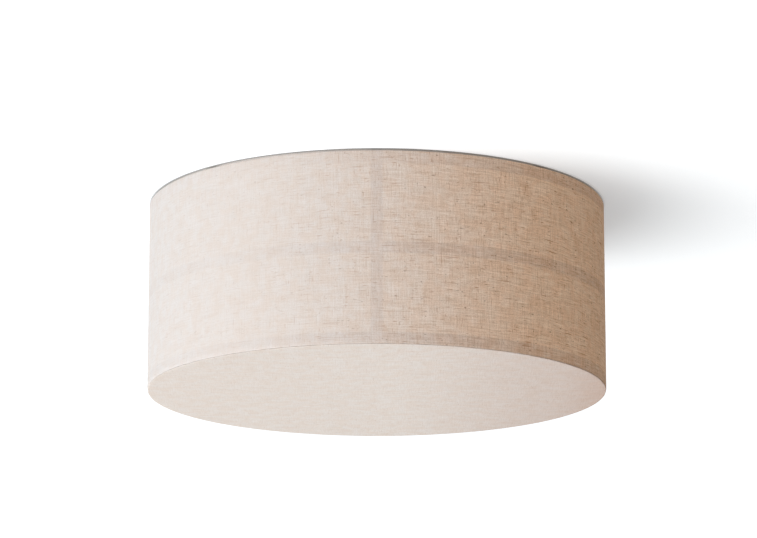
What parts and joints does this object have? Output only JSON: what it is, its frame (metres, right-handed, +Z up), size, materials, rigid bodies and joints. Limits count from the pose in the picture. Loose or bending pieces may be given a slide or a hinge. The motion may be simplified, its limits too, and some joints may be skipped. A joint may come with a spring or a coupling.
{
  "type": "flush mount ceiling light",
  "caption": "Drum ceiling light: linen stretched on a flat-bar frame, hung on studs under a fixed ceiling pan with lamps inside.",
  "frame": {"origin": "centre of the pan's ceiling face, in the plane of the ceiling", "axes": "+Z up into the ceiling; -Y is the front, where one upright of the frame faces the viewer"},
  "size_m": [0.6, 0.6, 0.25],
  "materials": {
    "linen": "bleached linen, plain weave with slubs, matte",
    "frame_steel": "light grey powder coat on flat bar, satin",
    "pan_white": "white powder coat, fine texture",
    "zinc_steel": "bright zinc plate",
    "brass": "plain turned brass",
    "nickel": "rolled lamp cap, nickel plated",
    "holder_plastic": "white thermoplastic",
    "block_plastic": "natural nylon",
    "opal_acrylic": "opal acrylic sheet, satin",
    "lamp_plastic": "white moulded housing",
    "lamp_opal": "opal globe, satin",
    "grommet_rubber": "black moulded rubber",
    "lead_brown": "brown heat-resistant insulation",
    "lead_blue": "blue heat-resistant insulation",
    "lead_earth": "green insulation with a yellow stripe"
  },
  "bodies": {
    "base": {"support_arm_1": "pan_white", "support_arm_2": "pan_white", "support_arm_3": "pan_white", "support_arm_4": "pan_white", "ceiling_pan": "pan_white", "lamp_bracket_1": "pan_white", "lampholder_body_1": "holder_plastic", "lampholder_shell_1": "brass", "lamp_bracket_2": "pan_white", "lampholder_body_2": "holder_plastic", "lampholder_shell_2": "brass", "lamp_bracket_3": "pan_white", "lampholder_body_3": "holder_plastic", "lampholder_shell_3": "brass", "hanging_studs": "zinc_steel", "arm_rivets": "zinc_steel", "bracket_rivets": "zinc_steel", "cable_grommet": "grommet_rubber", "terminal_block": "block_plastic", "terminal_screws": "brass", "block_fixing_screws": "zinc_steel", "earth_screw": "zinc_steel", "earth_tag": "zinc_steel", "lampholder_contacts": "brass", "lampholder_nipples": "zinc_steel", "nipple_nuts": "zinc_steel", "live_leads": "lead_brown", "neutral_leads": "lead_blue", "earth_lead": "lead_earth"},
    "shade": {"frame_top_ring": "frame_steel", "frame_middle_ring": "frame_steel", "frame_bottom_ring": "frame_steel", "frame_upright_right": "frame_steel", "frame_upright_back": "frame_steel", "frame_upright_left": "frame_steel", "frame_upright_front": "frame_steel", "hanging_lug_1": "frame_steel", "hanging_lug_2": "frame_steel", "hanging_lug_3": "frame_steel", "hanging_lug_4": "frame_steel", "fabric_wall": "linen", "fabric_bottom": "linen", "top_hem": "linen", "diffuser_seats": "frame_steel", "diffuser_disc": "opal_acrylic"},
    "nut_1": {"hanging_nut_1": "brass"},
    "nut_2": {"hanging_nut_2": "brass"},
    "nut_3": {"hanging_nut_3": "brass"},
    "nut_4": {"hanging_nut_4": "brass"},
    "lamp_1": {"lamp_cap_1": "nickel", "lamp_housing_1": "lamp_plastic", "lamp_globe_1": "lamp_opal"},
    "lamp_2": {"lamp_cap_2": "nickel", "lamp_housing_2": "lamp_plastic", "lamp_globe_2": "lamp_opal"},
    "lamp_3": {"lamp_cap_3": "nickel", "lamp_housing_3": "lamp_plastic", "lamp_globe_3": "lamp_opal"}
  },
  "joints": [
    {"name": "shade_drop", "type": "slide", "parent": "base", "child": "shade", "axis": [0, 0, -1], "range_m": [0, 0.25]},
    {"name": "nut_1_turn", "type": "hinge", "parent": "shade", "child": "nut_1", "pos_m": [0.19658, 0.19658, -0.0135], "axis": [0, 0, 1], "continuous": true},
    {"name": "nut_2_turn", "type": "hinge", "parent": "shade", "child": "nut_2", "pos_m": [-0.19658, 0.19658, -0.0135], "axis": [0, 0, 1], "continuous": true},
    {"name": "nut_3_turn", "type": "hinge", "parent": "shade", "child": "nut_3", "pos_m": [-0.19658, -0.19658, -0.0135], "axis": [0, 0, 1], "continuous": true},
    {"name": "nut_4_turn", "type": "hinge", "parent": "shade", "child": "nut_4", "pos_m": [0.19658, -0.19658, -0.0135], "axis": [0, 0, 1], "continuous": true},
    {"name": "lamp_1_out", "type": "slide", "parent": "base", "child": "lamp_1", "axis": [0.866, 0.5, 0], "range_m": [0, 0.032]},
    {"name": "lamp_2_out", "type": "slide", "parent": "base", "child": "lamp_2", "axis": [-0.866, 0.5, 0], "range_m": [0, 0.032]},
    {"name": "lamp_3_out", "type": "slide", "parent": "base", "child": "lamp_3", "axis": [0, -1, 0], "range_m": [0, 0.032]}
  ]
}
